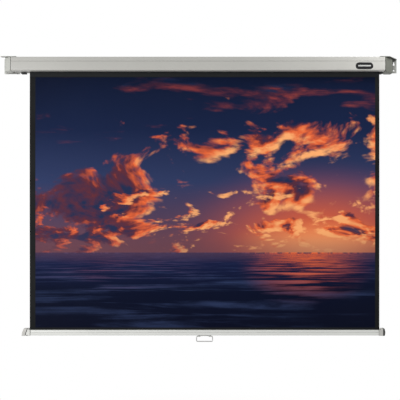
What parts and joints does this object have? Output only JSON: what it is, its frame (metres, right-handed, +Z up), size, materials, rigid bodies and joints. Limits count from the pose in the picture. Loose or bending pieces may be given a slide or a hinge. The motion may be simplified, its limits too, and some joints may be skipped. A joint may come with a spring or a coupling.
{
  "type": "pull-down projection screen",
  "caption": "Wall or ceiling mounted pull-down projection screen: a spring roller in a sheet metal case, black-bordered fabric, a weighted bottom bar and a wire pull handle.",
  "frame": {"origin": "centre of the case's flat back, in the plane of the wall, halfway along the case and halfway up it", "axes": "+X along the case to the viewer's right, +Y into the wall, +Z up, so the screen faces -Y"},
  "size_m": [1.864, 0.0774, 1.3384],
  "materials": {
    "case_paint": "satin pale grey powder coat",
    "cap_pale": "satin moulded",
    "cap_grey": "satin moulded",
    "bracket": "zinc plated",
    "steel": "bright zinc",
    "roller_steel": "galvanised tube",
    "rubber": "matte",
    "badge_black": "satin",
    "badge_pale": "satin",
    "screen_fabric": "matte coated fabric, black border and back",
    "plastic_grey": "moulded",
    "plastic_white": "moulded",
    "bar_metal": "pale painted extrusion",
    "bar_end_pale": "moulded",
    "bar_end_dark": "matte"
  },
  "bodies": {
    "case": {"case_shell": "case_paint", "end_cap_left": "cap_pale", "end_cap_right": "cap_grey", "bracket_left": "bracket", "bracket_right": "bracket", "bracket_screw_left_front": "steel", "bracket_screw_left_rear": "steel", "bracket_screw_right_front": "steel", "bracket_screw_right_rear": "steel", "back_screw_left": "steel", "back_screw_right": "steel", "foot_screw_left": "steel", "stop_left": "rubber", "stop_right": "rubber", "badge_plate": "badge_black", "badge_inlay": "badge_pale", "spring_rod": "steel", "ratchet_wheel": "steel", "torsion_spring": "steel", "spring_anchor_inner": "steel", "bearing_bush": "plastic_white", "screen_fabric": "screen_fabric"},
    "roller": {"roller_tube": "roller_steel", "fabric_spline": "plastic_white", "fabric_wrap": "screen_fabric", "spring_plug": "plastic_grey", "spring_anchor_outer": "plastic_grey", "rod_guide": "plastic_white", "idle_plug": "plastic_grey", "gudgeon_pin": "steel", "pawl_clip_upper": "steel", "pawl_clip_lower": "steel"},
    "upper_pawl": {"pawl_upper": "steel"},
    "lower_pawl": {"pawl_lower": "steel"},
    "bar": {"bottom_bar": "bar_metal", "hem_rod": "plastic_grey", "bar_socket_left": "bar_end_pale", "bar_socket_right": "bar_end_pale", "bar_end_left": "bar_end_pale", "bar_end_right": "bar_end_dark", "handle_plate": "bracket", "handle_screw_left": "steel", "handle_screw_right": "steel"},
    "handle": {"pull_handle": "steel"}
  },
  "joints": [
    {"name": "screen_drop", "type": "slide", "parent": "case", "child": "bar", "axis": [0, 0, 1], "range_m": [0, 1.2], "deforming": ["screen_fabric"]},
    {"name": "roller_turn", "type": "hinge", "parent": "case", "child": "roller", "pos_m": [0, -0.0441, 0.003], "axis": [1, 0, 0], "range_deg": [0, 3600]},
    {"name": "upper_pawl_swing", "type": "hinge", "parent": "roller", "child": "upper_pawl", "pos_m": [-0.845, -0.0541, 0.015], "axis": [1, 0, 0], "range_deg": [-10, 12]},
    {"name": "lower_pawl_swing", "type": "hinge", "parent": "roller", "child": "lower_pawl", "pos_m": [-0.845, -0.0341, -0.009], "axis": [1, 0, 0], "range_deg": [-10, 12]},
    {"name": "handle_swing", "type": "hinge", "parent": "bar", "child": "handle", "pos_m": [0.031, -0.025, -1.27734], "axis": [1, 0, 0], "range_deg": [-100, 100]}
  ],
  "couplings": [
    {"joint": "roller_turn", "follows": "screen_drop", "rad_per_m": 52.356}
  ]
}
